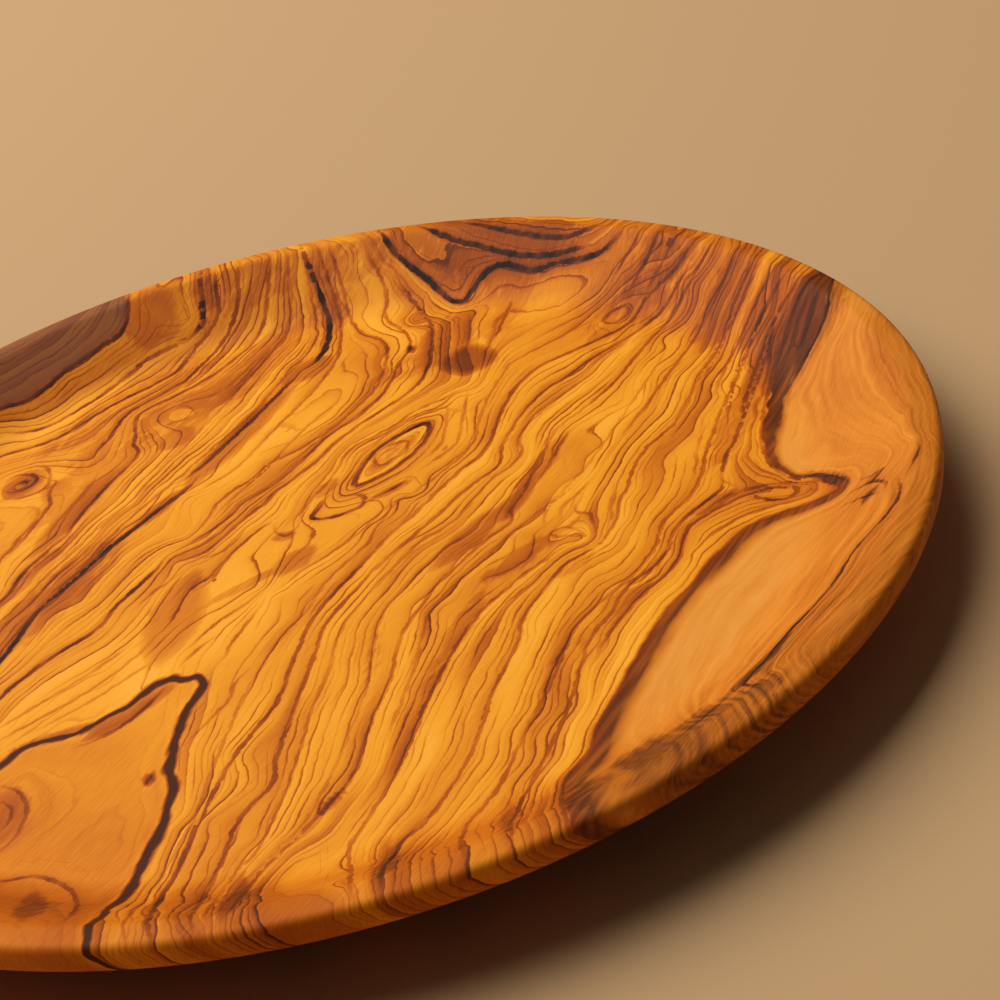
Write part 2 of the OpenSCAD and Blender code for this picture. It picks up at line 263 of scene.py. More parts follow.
# Lines that do not follow the rings: how dark they are as a share, and their points
LOOSE_LINES = (
    # The eye: its outline, the ring inside and the core
    (0.8, ((13.6, 22.6), (14.1, 26), (16.6, 31.8), (19.8, 36.9), (24.9, 41), (30, 43.3), (32, 43.6),
           (31.8, 40), (30, 35), (26.8, 30.5), (22.4, 26.7), (17.3, 23.5), (13.6, 22.6))),
    (0.5, ((18.9, 30.2), (18.6, 33.7), (20.5, 36.3), (23.6, 37.9), (26.2, 37.5), (26.5, 35),
           (25.4, 32.4), (23, 31.2), (20.5, 29.3), (18.9, 30.2))),
    (0.4, ((21.1, 32.4), (21.6, 34.8), (23, 35.6), (24.2, 34.4), (23.6, 32.6))),
    # Loops that close round the far end of the eye
    (0.45, ((27.5, 21.6), (30.6, 24.2), (37, 29.3), (38.9, 34.4), (40.5, 41.4), (42.1, 49),
            (43, 56.6))),
    (0.45, ((15.4, 36.9), (19.8, 40.7), (24.9, 45.2), (30.6, 48.4), (36.4, 49.6), (37.3, 47.6),
            (36.4, 42.6), (34.5, 33.7), (31.9, 29.3), (28.1, 25.4))),
    # The tongue beside the eye and the dark flow on its right
    (0.75, ((8.4, 23.2), (5.2, 19), (2.6, 14), (2.5, 11.8), (5.8, 10.5), (10.3, 10.8), (14.1, 12.4),
            (15.4, 14.6), (14.7, 17.5), (12.2, 18.8), (8.4, 18.6))),
    (0.7, ((15.5, 15), (19, 15.6), (23, 17.6), (27, 21.6))),
    (0.5, ((-5.9, 15), (-6, 10.3), (-3.8, 7.4), (-0.9, 10.3), (-0.3, 14))),
    # The tangle on the left of the middle
    (0.45, ((-31.2, 9), (-27.3, 10.6), (-22.9, 12.5), (-18.4, 16.5), (-16, 19.8))),
    (0.5, ((-26, 3.9), (-24.2, 6.4), (-19, 6.8), (-15.2, 10.6), (-12.4, 16))),
    (0.45, ((-17.8, 24.3), (-15.9, 29.4), (-12, 34.6), (-8.4, 38.4), (-5.2, 43.4), (-2.5, 47.8),
            (0.7, 52.8), (7.1, 60.5), (14.7, 68.7))),
    (0.45, ((-59.8, 29.4), (-58.5, 37), (-54.7, 44.6), (-50.9, 51), (-48, 60))),
    (0.4, ((-39.4, -10.3), (-36.8, -6.5), (-33.6, -2.6), (-30.5, 0), (-26.6, 3.7))),
    (0.55, ((-25.4, -6.5), (-24.4, -3), (-22, -0.7))),
    # Lines round the corner of the black one
    (0.6, ((-50, -55.5), (-46, -55), (-40, -52.3), (-36.2, -49), (-33, -44.6), (-30.5, -40.8))),
    (0.6, ((-28.5, -36), (-25.4, -31.9), (-21.5, -28), (-19, -25.6))),
    (0.4, ((-27.3, -64.7), (-23.5, -59.3), (-18.4, -52.9), (-17.2, -50), (-16.4, -46.6),
           (-12.6, -41.5))),
    # Between the middle and the sapwood
    (0.4, ((50.4, 0.3), (54.2, 5.7), (58, 12.7), (61.2, 19.7), (66, 27))),
    (0.45, ((60, -29.4), (64.5, -25), (66.4, -19.2), (67.6, -14), (68.9, -9), (69.6, -3.3))),
    (0.4, ((53.4, -18.4), (55.5, -17.2), (58, -18.6), (60, -22.4), (56.8, -20.8), (54.3, -20.4),
            (53.4, -18.4))),
    (0.5, ((52.4, -16), (53, -10.9), (54.9, -6.5), (59.4, -2.6), (63.2, 1.8))),
    (0.5, ((56, -14), (57.2, -9), (60.6, -5.5), (66.4, 1.2))),
    (0.6, ((61.4, -23), (62.6, -20.5), (62.6, -14), (60, -12.2), (60.4, -8.5))),
    (0.4, ((37.7, -42.7), (41.6, -40.2), (46, -37), (50.5, -34.5))),
    (0.4, ((85.5, -12.8), (88, -4.5), (89.3, 1.8), (94, 13))),
    (0.3, ((2, -63.7), (3.9, -59.3), (6.5, -54.8), (7.1, -49.7), (9, -42), (10.9, -37))),
    # Beside the blotch, and the loops round the pinhole and the knots
    (0.5, ((51, 75.6), (54.3, 83.3), (57.5, 92), (60.8, 100.7))),
    (0.4, ((30.4, 99.5), (33, 97.4), (37, 98.6), (37.8, 101.5), (35.6, 104.4), (31.6, 103.6))),
    (0.5, ((79.4, 73.6), (82, 72), (86, 74), (86.4, 76.8), (83, 78), (80, 76), (79.4, 73.6))),
    (0.7, ((-72, 62), (-70, 59.6), (-66, 60), (-63.4, 63), (-65, 67), (-69, 68), (-72, 65.4))),
    (0.55, ((-74, 58), (-67, 55.6), (-61.4, 58), (-60.2, 64), (-62, 69.4), (-67, 72.6))),
    (0.3, ((-33.4, 77.6), (-31, 75.4), (-26.4, 77), (-24.6, 81), (-27.6, 84.6), (-31, 83))),
    (0.45, ((-66, -62), (-62.4, -64), (-59.5, -68), (-58.5, -74), (-60, -80), (-63, -84), (-67, -86))),
    (0.45, ((-66, -67), (-63, -68.6), (-61.4, -72), (-62, -76), (-65, -78.6))),
    (0.5, ((-68, -92), (-62, -94), (-57, -94), (-52, -97), (-48, -102.6), (-46, -112), (-45.6, -124))),
    # A black line that leaves over the far left rim
    (0.95, ((-27, 115), (-22, 118), (-19.8, 121), (-19.2, 128), (-18.3, 138))),
    # Beside the brown patch on the left of the middle
    (0.45, ((-68, -43), (-63, -40), (-52, -33), (-44, -27), (-38, -21))),
    (0.45, ((-68, -48), (-63, -45), (-50, -38), (-40, -30), (-33, -22))),
    (0.4, ((-60, -47), (-48, -41), (-38, -34), (-31, -29))),
    # Splits and streaks where the heart runs out into the sapwood
    (0.55, ((85, -25), (90, -21.4), (95, -20), (101, -20.4), (107, -22.4), (111, -26))),
    (0.5, ((91.6, -9), (92, -14.6), (94, -18), (94, -20))),
    (0.65, ((97, -23), (99.6, -21.8), (103, -22.4), (105.8, -24.6), (103.4, -27), (100, -26), (97, -23))),
    (0.5, ((106.4, -24.6), (108, -26.4), (110.6, -28.4))),
    (0.45, ((117, -34), (119, -36.6), (122, -38))),
    (0.5, ((114, -37), (118, -39), (120.6, -43), (120, -47))),
    (0.4, ((112, -40), (116, -43), (118.6, -46.6))),
    (0.25, ((64, -113), (69, -108), (75, -102), (79, -97.6))),
    # Lines that climb the far right wall
    (0.55, ((86, 80), (92, 84), (98, 90), (103, 97))),
    (0.5, ((90, 76.6), (97, 81.6), (103, 87), (110, 93))),
    (0.5, ((82, 86), (88, 89.4), (94, 94), (98, 100))),
    # The streaks that fan out along the dark edge of the heart
    (0.6, ((101, 8), (104, 18), (107.6, 27), (113, 37), (119, 43.6), (127, 50))),
    (0.6, ((98, 12), (102, 24), (106, 34), (112, 43), (118, 49), (126, 55))),
    (0.5, ((97, 22), (103, 36), (109, 45), (116, 52.6), (124, 59))),
    (0.5, ((96, 30), (104, 46), (112, 55), (121, 64))),
)

# Knots and eyes that the growth lines part round: place, half length and half width of the outline,
# the turn of the length in degrees from +X, and how many rings the middle stands above the wood
# around it
KNOTS = (
    (22.6, 33, 14.6, 4.8, 47, 3),
    (56, -18.5, 5, 2.6, 40, 1),
    (-68, 63.5, 7, 6, 60, 1.6),
    (-29, 80, 4.5, 3.6, 75, 0.6),
    (-62, -72, 9, 3.4, 75, 1.6),
    (34, 101, 4, 3, 90, 1.2),
    (83, 75, 5, 3.4, 35, 1.6),
    (-100, 8, 9, 4.4, 55, 3),
    (-103, -52, 6, 3, 60, -2.4),
)

# Stained patches, and a few patches of painted shade: place, half length, half width, turn in degrees,
# and darkness, with 1 for brown and 2 for nearly black
STAINS_AND_SHADES = (
    (5, 87, 8, 4, 40, 0.8),
    (-13, 60, 24, 3.4, 55, 1.0),
    (-33, 34, 9, 2.4, 52, 0.7),
    (-55, 5, 9, 2.4, 56, 0.7),
    (45, 71.5, 7.5, 6, 80, 1.4),
    (54, 85, 13, 1.6, 66, 0.5),
    (47, 90, 11, 1.4, 82, 0.5),
    (-29, -16, 17, 6, 75, 0.9),
    (-13, -9, 13, 1.6, 25, 0.6),
    (-2, -4, 6.5, 3.6, 42, 0.65),
    (-29, 67.5, 6, 4.5, 60, 0.6),
    (-58, 56, 6, 4, 60, 0.6),
    (-53, 43, 20, 3.6, 60, 0.75),
    (-62, 18, 16, 3, 55, 0.45),
    (74, 112, 7, 3, -35, 0.6),
    (55, 118, 30, 11, -38, 0.5),
    (121, 34, 19, 9, 48, 0.9),
    (110, 31, 15, 2.6, 60, 0.9),
    (110, 12, 11, 3, 66, 0.45),
    (118, 50, 14, 4.5, 45, 0.8),
    (110, 60, 18, 6, 50, 0.6),
    (100, 10, 22, 4, 64, 0.55),
    (112.6, -25, 7, 1.4, -62, 1.0),
    (117.4, -44, 3, 1.8, 30, 0.55),
    (120, -38.4, 3, 1.2, 15, 0.6),
    (82, -94, 14, 2.2, 46, 0.55),
    (64, -115, 22, 14, 27, 0.62),
    (-38, -47, 11, 2.8, 35, 0.9),
    (-50, -49.6, 13, 1.6, 5, 0.9),
    (-63, -73, 9, 5, 80, 0.6),
    (-54, -110, 11, 3, 95, 0.5),
    (-17, -121, 15, 2.6, 90, 0.6),
    (10, -121, 14, 3, 90, 0.45),
    (33, -119, 13, 3, 90, 0.45),
    (-67, 63, 7, 5, 60, 0.7),
    (-67, 63.6, 1.8, 1.4, 60, 1.7),
    # The three patches along the far wall are painted shade, not stains.
    (-8, 128, 16, 8, 0, 0.4),
    (22, 127, 14, 7, 0, 0.4),
    (-34, 124, 10, 8, 80, 0.5),
    (-34, -72.3, 2, 1, 75, 1.8),
    (1, -93.6, 4.5, 1, 48, 1.1),
    (31.7, 84.8, 1.8, 1, 80, 2.0),
    (37, -11, 14, 3.4, 47, 0.7),
    (55, 11, 14, 2.6, 58, 0.65),
    (49, 0, 10, 2, 60, 0.9),
    (46, -25, 12, 3.4, 35, 0.5),
    (32, -44, 13, 3, 62, 0.45),
    (56, -33, 6, 2.4, 32, 0.5),
    (88, -22, 7, 2.4, 30, 0.5),
    (22.6, 33, 12, 4, 47, 0.4),
    (6.5, 24.5, 4.5, 2.2, 55, 0.6),
    (21, 16.5, 6, 1.6, 25, 0.6),
    (-4, 7.5, 3, 2, 0, 0.6),
    (12, -50, 12, 2.4, 75, 0.3),
    (25, -58, 14, 2.6, 68, 0.3),
    (-8, 96, 36, 12, 42, 0.45),
    (46, 88, 30, 10, 40, 0.45),
    (-46, 66, 34, 9, 58, 0.45),
    (-58, 4, 30, 8, 55, 0.45),
    (-40, 92, 30, 9, 35, 0.45),
    (92, 76, 30, 10, 45, 0.4),
    (64, -50, 18, 3.4, 48, 0.4),
)

# The black line that walls off a plain patch of wood at the near left, and leaves over the rim
WALL_LINE = (
    (-128, -150), (-104, -104), (-92, -84), (-78, -66), (-65, -56), (-60, -51), (-51, -51),
    (-45, -48.5), (-40, -46), (-36, -42.7), (-32, -39.5), (-29.5, -38.8), (-27, -40.3), (-24, -40.5),
    (-23.3, -44), (-24.7, -48), (-26.6, -52), (-29, -63),
    (-29.8, -71), (-29.6, -79), (-31.6, -89), (-38, -107), (-40, -114), (-40, -124), (-42, -150),
)


def polar(centre, radius, degrees):
    """The point at this radius and direction from a centre of the profile."""
    return (
        centre[0] + radius * math.cos(math.radians(degrees)),
        centre[1] + radius * math.sin(math.radians(degrees)),
    )


def arc(centre, radius, start, end):
    """Points along an arc of the profile, both ends included."""
    steps = max(3, math.ceil(radius * math.radians(abs(end - start)) / ROUND_SPACING))
    return [polar(centre, radius, start + (end - start) * i / steps) for i in range(steps + 1)]


def run(points, to, spacing):
    """Carries a list of points straight on to another point, in even steps."""
    at = points[-1]
    steps = max(1, math.ceil(math.dist(at, to) / spacing))
    for i in range(1, steps + 1):
        points.append((at[0] + (to[0] - at[0]) * i / steps, at[1] + (to[1] - at[1]) * i / steps))


def beside_slope(other_c, other_r, slope, z, r):
    """Distance from the axis of a rounding that shares the sloping line under another one."""
    turn = math.radians(slope)
    return other_c[0] + (other_r - r + (z - other_c[1]) * math.cos(turn)) / math.sin(turn)


def dish_profile():
    """The under side from the axis out to the rim, and the top from the rim in to the axis."""
    rim_edge = (RIM_R - RIM_EDGE_R, DISH_H - RIM_EDGE_R)
    rim_under = (RIM_R - RIM_UNDER_R, rim_edge[1] - RIM_BAND_H)
    lip_edge = (rim_edge[0] - LIP_FLAT_W, DISH_H - LIP_EDGE_R)
    cove_z = FLOOR_Z + COVE_R
    cove = (beside_slope(lip_edge, -LIP_EDGE_R, WALL_ANGLE, cove_z, COVE_R), cove_z)
    foot_x = beside_slope(rim_under, RIM_UNDER_R, FLANK_ANGLE, FOOT_EDGE_R, FOOT_EDGE_R)
    foot_edge = (foot_x, FOOT_EDGE_R)
    hollow_r = foot_x - FOOT_RING_W

    under = [(0, HOLLOW_DEPTH)]
    run(under, (hollow_r - HOLLOW_FADE_W, HOLLOW_DEPTH), UNDER_SPACING)
    run(under, (hollow_r, 0), UNDER_SPACING)
    run(under, (foot_x, 0), UNDER_SPACING)
    under += arc(foot_edge, FOOT_EDGE_R, -90, FLANK_ANGLE - 90)[1:]
    run(under, polar(rim_under, RIM_UNDER_R, FLANK_ANGLE - 90), TOP_SPACING)
    under += arc(rim_under, RIM_UNDER_R, FLANK_ANGLE - 90, 0)[1:]

    top = arc(rim_edge, RIM_EDGE_R, 0, 90)
    run(top, (lip_edge[0], DISH_H), ROUND_SPACING)
    top += arc(lip_edge, LIP_EDGE_R, 90, 90 + WALL_ANGLE)[1:]
    run(top, polar(cove, COVE_R, WALL_ANGLE - 90), TOP_SPACING)
    top += arc(cove, COVE_R, WALL_ANGLE - 90, -90)[1:]
    run(top, (0, FLOOR_Z), TOP_SPACING)
    return under, top


def turn_dish(under, top):
    """Draws the profile by extruding one corner along it, and turns it about the axis."""
    bpy.ops.object.select_all(action="DESELECT")
    bpy.ops.mesh.primitive_plane_add(size=RIM_R * MM, location=(0, 0, 0))
    dish = bpy.context.object
    dish.name = "turned_olive_dish"
    dish.data.name = dish.name
    bpy.ops.object.mode_set(mode="EDIT")
    bpy.ops.mesh.select_all(action="SELECT")
    bpy.ops.mesh.merge(type="CENTER")
    at = (0, 0)
    start, *others = under + top
    bpy.ops.transform.translate(value=((start[0] - at[0]) * MM, 0, (start[1] - at[1]) * MM))
    at = start
    for point in others:
        move = ((point[0] - at[0]) * MM, 0, (point[1] - at[1]) * MM)
        bpy.ops.mesh.extrude_region_move(TRANSFORM_OT_translate={"value": move})
        at = point
    bpy.ops.mesh.select_all(action="SELECT")
    bpy.ops.mesh.spin(steps=TURN_STEPS, angle=math.tau, center=(0, 0, 0), axis=(0, 0, 1))
    bpy.ops.mesh.select_all(action="SELECT")
    bpy.ops.mesh.remove_doubles(threshold=WELD_GAP * MM)
    bpy.ops.mesh.normals_make_consistent(inside=False)
    bpy.ops.object.mode_set(mode="OBJECT")
    bpy.ops.object.shade_smooth()
    return dish


def spline_kernel(squared):
    """The thin plate spline's weight at a squared distance."""
    return squared * np.log(squared + NOT_ZERO)


def growth_field(lines):
    """Fits a smooth ring count through the drawn lines, and returns it as a function of x and y."""
    points, rings = [], []
    for ring, _, line in lines:
        points += line
        rings += [ring] * len(line)
    centres = np.array(points) / FIELD_UNIT
    count = len(centres)
    gaps = ((centres[:, None] - centres[None]) ** 2).sum(-1)
    plane = np.column_stack([np.ones(count), centres])
    system = np.zeros((count + 3, count + 3))
    system[:count, :count] = spline_kernel(gaps) + FIELD_STIFFNESS * np.eye(count)
    system[:count, count:] = plane
    system[count:, :count] = plane.T
    weights = np.linalg.solve(system, np.append(rings, (0, 0, 0)))

    def ring_at(x, y):
        spots = np.column_stack([x, y]) / FIELD_UNIT
        total = weights[count] + spots @ weights[count + 1:]
        for centre, weight in zip(centres, weights):
            total += weight * spline_kernel(((spots - centre) ** 2).sum(-1))
        for *outline, rise in KNOTS:
            total += rise * KNOT_ON_OUTLINE ** oval(x, y, *outline)
        return total

    return ring_at


def oval(x, y, centre_x, centre_y, half_length, half_width, turn):
    """How far out a spot lies from a pointed oval: 0 in the middle, and 1 on the outline."""
    cos, sin = math.cos(math.radians(turn)), math.sin(math.radians(turn))
    along = ((x - centre_x) * cos + (y - centre_y) * sin) / half_length
    across = ((y - centre_y) * cos - (x - centre_x) * sin) / half_width
    return along**2 + (np.sqrt(across**2 + BLUNT**2) - BLUNT) / (math.hypot(1, BLUNT) - BLUNT)


def distance_to_line(x, y, line):
    """Distance from each spot to the nearest stretch of a line."""
    nearest = np.full(len(x), np.inf)
    for (x0, y0), (x1, y1) in zip(line, line[1:]):
        dx, dy = x1 - x0, y1 - y0
        share = np.clip(((x - x0) * dx + (y - y0) * dy) / (dx * dx + dy * dy), 0, 1)
        nearest = np.minimum(nearest, np.hypot(x - x0 - share * dx, y - y0 - share * dy))
    return nearest


def curved(line):
    """A smooth curve through the points of a line, in short steps. A line that comes back to its start
    is closed."""
    closed = line[0] == line[-1]
    points = np.array([line[-2] if closed else line[0], *line, line[1] if closed else line[-1]], float)
    curve = [points[1]]
    for before, start, end, after in zip(points, points[1:], points[2:], points[3:]):
        steps = max(1, math.ceil(math.dist(start, end) / CURVE_STEP))
        for i in range(1, steps + 1):
            t = i / steps
            bend = (end - before) * t + (2 * before - 5 * start + 4 * end - after) * t**2
            curve.append(start + (bend + (3 * (start - end) + after - before) * t**3) / 2)
    return np.array(curve)


def stretches_of(lines):
    """The short straight stretches of the drawn lines: start, step, length, how far from the two ends
    of its line it starts, the darkness of the line, and its number."""
    rows = []
    for number, (share, line) in enumerate(lines):
        curve = curved(line)
        steps = np.diff(curve, axis=0)
        lengths = np.hypot(*steps.T)
        walked = np.cumsum(lengths) - lengths
        # A closed line has no ends.
        spare = NO_END if line[0] == line[-1] else 0
        for start, step, length, before in zip(curve, steps, lengths, walked):
            after = lengths.sum() - before
            rows.append((*start, *step, length, before + spare, after + spare, share, number))
    return np.array(rows)


def beside(x, y, stretch):
    """How far spots lie from a stretch, negative on the far left, and how dark the line is there."""
    x0, y0, dx, dy, length, before, after, share, _ = stretch
    along = ((x - x0) * dx + (y - y0) * dy) / length**2
    held = np.clip(along, 0, 1)
    gap = np.hypot(x - x0 - held * dx, y - y0 - held * dy)
    on_left = (y - y0) * dx - (x - x0) * dy > 0
    to_end = np.minimum(before + along * length, after - along * length)
    return np.where(on_left, -gap, gap), share * np.clip((to_end + LINE_TIP) / LINE_END, 0, 1)


def nearest_stretches(x, y, stretches):
    """For each spot the number of the nearest stretch, how near it is, and the brown shade of all."""
    near = np.full(len(x), float(LINE_REACH))
    nearest = np.full(len(x), -1)
    shade = np.zeros(len(x))
    reach = LINE_REACH + CURVE_STEP
    for i, stretch in enumerate(stretches):
        close = np.flatnonzero((abs(x - stretch[0]) < reach) & (abs(y - stretch[1]) < reach))
        side, dark = beside(x[close], y[close], stretch)
        fall = 1 - np.where(side < 0, -side / SHADE_LEFT, side / SHADE_RIGHT)
        shade[close] = np.maximum(shade[close], dark * fall)
        nearer = abs(side) < near[close]
        near[close[nearer]] = abs(side[nearer])
        nearest[close[nearer]] = i
    return nearest, near, shade


def line_corners(mesh, x, y, stretches, nearest, near):
    """For each corner of each face, its distance from the line nearest to that face, negative on the
    far left, and how dark the line is. One line to a face, so that no line shows between two others."""
    vertex = np.empty(len(mesh.loops), int)
    mesh.loops.foreach_get("vertex_index", vertex)
    first, corners = np.empty(len(mesh.polygons), int), np.empty(len(mesh.polygons), int)
    mesh.polygons.foreach_get("loop_start", first)
    mesh.polygons.foreach_get("loop_total", corners)
    face = np.repeat(np.arange(len(first)), corners)
    closest = near[vertex] == np.repeat(np.minimum.reduceat(near[vertex], first), corners)
    of_face = np.empty(len(first), int)
    of_face[face[closest]] = nearest[vertex[closest]]
    chosen = of_face[face]

    side = np.full(len(vertex), float(LINE_REACH))
    dark = np.zeros(len(vertex))
    spots = np.flatnonzero(chosen >= 0)
    for shift in (0, -1, 1):
        beside_it = np.clip(chosen[spots] + shift, 0, len(stretches) - 1)
        same_line = stretches[beside_it, -1] == stretches[chosen[spots], -1]
        table = stretches[beside_it].T
        new_side, new_dark = beside(x[vertex[spots]], y[vertex[spots]], table)
        better = same_line & (abs(new_side) < abs(side[spots]))
        side[spots[better]] = new_side[better]
        dark[spots[better]] = new_dark[better]
    return side, dark


def inside_line(x, y, line):
    """True for each spot inside the closed outline."""
    inside = np.zeros(len(x), bool)
    for (x0, y0), (x1, y1) in zip(line, line[1:] + line[:1]):
        if y0 == y1:
            continue
        crosses = ((y0 > y) != (y1 > y)) & (x < (x1 - x0) * (y - y0) / (y1 - y0) + x0)
        inside ^= crosses
    return inside


def draw_figure(dish, top):
    """Stores the wood's figure, and the painted shade of the walls, at each vertex or face corner, for
    the material to read.
    """
    mesh = dish.data
    flat = np.empty(len(mesh.vertices) * 3)
    mesh.vertices.foreach_get("co", flat)
    x, y, z = flat.reshape(-1, 3).T / MM
    # What lies below the top face is read further along the lean of the grain.
    top_r, top_z = np.array(top[::-1]).T
    radius = np.hypot(x, y)
    depth = np.interp(radius, top_r, top_z) - z
    x = x - GRAIN_LEAN * np.maximum(depth, 0)

    ring_at = growth_field(GROWTH_LINES)
    ring = ring_at(x, y)
    rise_x = ring_at(x + PITCH_STEP, y) - ring
    rise_y = ring_at(x, y + PITCH_STEP) - ring
    slope = np.hypot(rise_x, rise_y) / PITCH_STEP
    pitch = np.clip(1 / np.maximum(slope, FLATTEST), NARROWEST_RING, WIDEST_RING)
    drawn = [(share, line) for _, share, line in GROWTH_LINES if share] + list(LOOSE_LINES)
    stretches = stretches_of(drawn)
    nearest, near, line_shade = nearest_stretches(x, y, stretches)
    line_side, line_dark = line_corners(mesh, x, y, stretches, nearest, near)
    stain_and_shade = np.zeros(len(x))
    # Stains, and three patches of painted shade on the far wall
    for *outline, share in STAINS_AND_SHADES:
        stain_and_shade = np.maximum(stain_and_shade, share * np.clip(STAIN_REACH - oval(x, y, *outline), 0, 1))
    wall_curve = curved(WALL_LINE).tolist()
    wall = distance_to_line(x, y, wall_curve)
    wall[~inside_line(x, y, wall_curve)] *= -1
    # Painted shade on the walls: in from the floor's edge, part kept on the lip, deepest on the near side
    floor_r = top_r[np.isclose(top_z, FLOOR_Z)].max()
    lip_r = RIM_R - RIM_EDGE_R - LIP_FLAT_W
    cut_places = (floor_r, floor_r + WALL_SHADE_FADE, lip_r - LIP_EDGE_R, lip_r)
    cut = np.interp(radius, cut_places, (0, 1, 1, WALL_SHADE_ON_LIP))
    cut *= 1 + WALL_SHADE_MORE * np.cos(np.arctan2(y, x) - math.radians(WALL_SHADE_SIDE))

    figure = {
        "ring": (ring, "POINT"),
        "pitch": (pitch, "POINT"),
        "line_shade": (line_shade, "POINT"),
        "line_side": (line_side, "CORNER"),
        "line_dark": (line_dark, "CORNER"),
        "stain_and_shade": (stain_and_shade, "POINT"),
        "wall": (wall, "POINT"),
        "cut": (cut, "POINT"),
    }
    for name, (values, domain) in figure.items():
        mesh.attributes.new(name, "FLOAT", domain).data.foreach_set("value", values.astype(np.float32))


def linear(colour):
    """A hex colour as Blender's linear values."""
    shares = [int(colour[i : i + 2], 16) / 255 for i in (1, 3, 5)]
    return [s / 12.92 if s <= 0.04045 else ((s + 0.055) / 1.055) ** 2.4 for s in shares] + [1]


def add(tree, kind, inputs, out=0, stops=(), **settings):
    """Adds a shader node with its settings, ramp stops and links, and returns one of its outputs."""
    node = tree.nodes.new("ShaderNode" + kind)
    for name, value in settings.items():
        setattr(node, name, value)
    for i, (place, colour) in enumerate(stops):
        ramp = node.color_ramp.elements
        stop = ramp[i] if i < len(ramp) else ramp.new(place)
        stop.position = place
        stop.color = linear(colour)
    for socket, value in inputs.items():
        if isinstance(value, bpy.types.NodeSocket):
            tree.links.new(value, node.inputs[socket])
        else:
            node.inputs[socket].default_value = value
    return node.outputs[out]


# Tones of the oiled wood, from the palest early wood to the black lines
HEARTWOOD_TONES = (
    (0.0, "#fcae34"),
    (0.2, "#f29d20"),
    (0.4, "#dd7f15"),
    (0.58, "#bc5b0c"),
    (0.74, "#893c0b"),
    (0.88, "#50240c"),
    (1.0, "#28140b"),
)
SAPWOOD_TONES = (
    (0.0, "#ee9f42"),
    (0.3, "#e08829"),
    (0.6, "#be6615"),
    (0.8, "#703710"),
    (1.0, "#2c170d"),
)
# Ring counts at the edge of the heart, at the line in the sapwood and where the darkest heart starts
HEART_EDGE = 15
SAP_LINE = 20
DARK_HEART = -22
DARK_HEART_COLOUR = "#6f4231"
DARK_HEART_SHARE = 0.75
# Most values of a noise lie between these.
NOISE_LOW = 0.3
NOISE_HIGH = 0.7
# Sizes of the patterns in mm: along the grain, across it and down
WAVER_SIZE = (11, 6, 11)
JOG_SIZE = (3, 2, 3)
VARY_SIZE = (16, 4, 8)
FIBRE_SIZE = (6, 0.35, 2)
RAG_SIZE = (5, 1.6, 4)
STREAK_SIZE = (20, 1.5, 8)
# How far rings and lines stray from their place, in mm
WAVER_MOST = 1.3
JOG_MOST = 0.8
# How far bands, broad shades and sapwood ripples run along the grain, in mm, and how many of the last two
# a ring holds
BAND_RUN = 45
BROAD_RUN = 80
BROADS_PER_RING = 0.6
RIPPLE_RUN = 22
RIPPLES_PER_RING = 3.5
# How far apart a noise is read for neighbours, so that they differ
LINE_APART = 7.3
BAND_APART = 3.1
# Half widths in mm of a drawn line: on its sharp right, and on its soft left when faint and when dark
LINE_RIGHT = 0.45
LINE_LEFT_FAINT = 0.65
LINE_LEFT_DARK = 1.9
# Half widths in mm of the black line round the plain patch, and what that patch keeps of the figure
WALL_THIN = 0.7
WALL_THICK = 1.8
PATCH_FIGURE = 0.25
# How much each thing darkens the wood, on the scale of the tones
BAND_TONE = 0.4
BROAD_TONE = 0.4
FIBRE_TONE = 0.05
SHADE_TONE = 0.7
LINE_TONE = 1.02
# How much the painted shade of the walls darkens them
WALL_SHADE_TONE = 0.22
PATCH_TONE = 0.15
WALL_TONE = 0.9
EDGE_TONE = 0.76
EDGE_MOST = 0.84
# Painted shade: how much darker the sapwood is past its own line, out on the right wall and rim
SAP_OUTER_SHADE = 0.16
# How steeply a shade, a line and a band grow dark
SHADE_POWER = 1.6
LINE_POWER = 1.15
BAND_POWER = 1.4
# Finish of the oiled face: its roughness on the wood and in the pores, its gloss and the relief in mm
WOOD_ROUGH = 0.5
PORE_ROUGH = 0.62
OILED_GLOSS = 0.08
FIBRE_RELIEF = 0.05
# Sets of faint growth lines: lines to a ring, how far one runs before it comes or goes, its core when
# thin and when thick, how far it fades (all in mm), how rare it is, and its most as a share
LINE_SETS = (
    (2, 34, 0.4, 1.0, 1.8, 0.36, 0.6),
    (4, 22, 0.35, 0.7, 0.9, 0.4, 0.55),
)


def per_mm(sizes):
    """The scale of a pattern with these sizes in mm."""
    return [1 / size for size in sizes]


